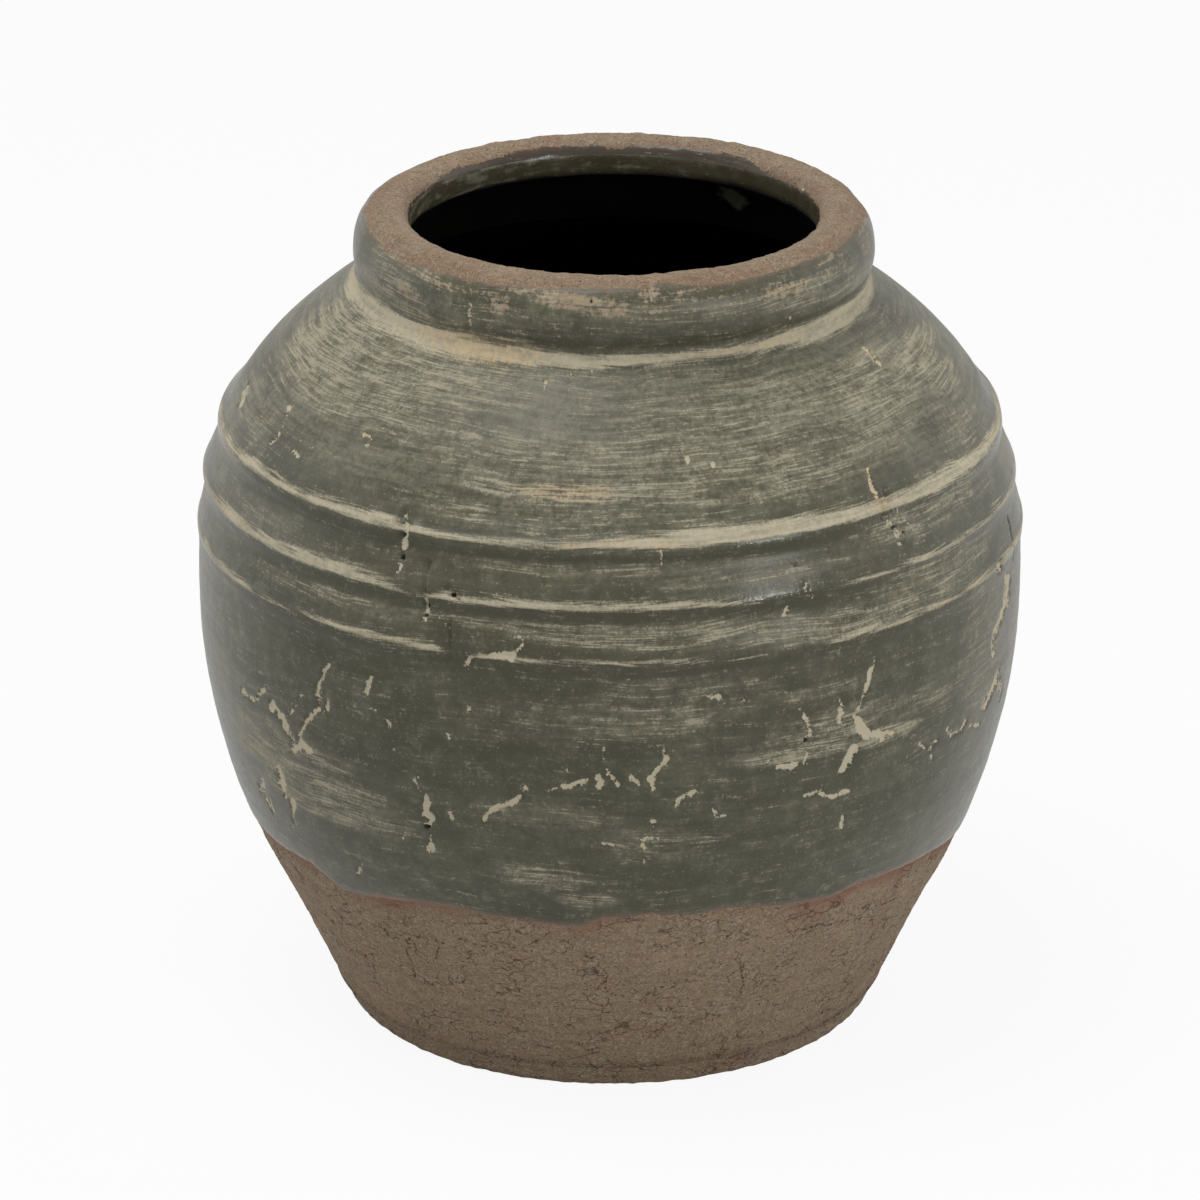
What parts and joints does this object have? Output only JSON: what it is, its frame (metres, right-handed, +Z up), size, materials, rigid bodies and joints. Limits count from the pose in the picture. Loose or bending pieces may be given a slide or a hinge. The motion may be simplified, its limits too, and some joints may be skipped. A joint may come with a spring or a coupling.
{
  "type": "martaban storage jar",
  "caption": "Wide-mouthed stoneware storage jar with a rolled rim, three raised bands, a worn grey-green glaze and a bare clay foot.",
  "frame": {"origin": "centre of the foot's underside, on the surface that the jar stands on", "axes": "+Z up along the jar's axis, out of its mouth; -Y towards the side that the picture shows, +X to its right"},
  "size_m": [0.4016, 0.4016, 0.4035],
  "materials": {
    "bare_clay": "unglazed coarse stoneware, gritty, with fine drying cracks",
    "grey_green_glaze": "thin worn satin glaze with dry-brushed pale streaks and chips",
    "dark_inner_glaze": "dark olive gloss glaze",
    "pale_slip": "matt pale slip wiped over the glaze"
  },
  "bodies": {
    "root": {"base_disc": "bare_clay", "foot_wall": "bare_clay", "lower_belly_wall": "bare_clay", "upper_belly_wall": "bare_clay", "band_wall": "bare_clay", "shoulder_wall": "bare_clay", "neck_collar": "bare_clay", "rim_roll": "bare_clay", "lower_band_coil_1": "bare_clay", "lower_band_coil_2": "bare_clay", "lower_band_coil_3": "bare_clay", "middle_band_coil_1": "bare_clay", "middle_band_coil_2": "bare_clay", "upper_band_coil_1": "bare_clay", "upper_band_coil_2": "bare_clay", "upper_band_coil_3": "bare_clay", "belly_glaze": "grey_green_glaze", "band_glaze": "grey_green_glaze", "shoulder_glaze": "grey_green_glaze", "rim_glaze": "grey_green_glaze", "throat_glaze": "dark_inner_glaze", "inside_glaze": "dark_inner_glaze", "lower_slip_line": "pale_slip", "middle_slip_line": "pale_slip", "upper_slip_line": "pale_slip", "neck_slip": "pale_slip"}
  },
  "joints": []
}
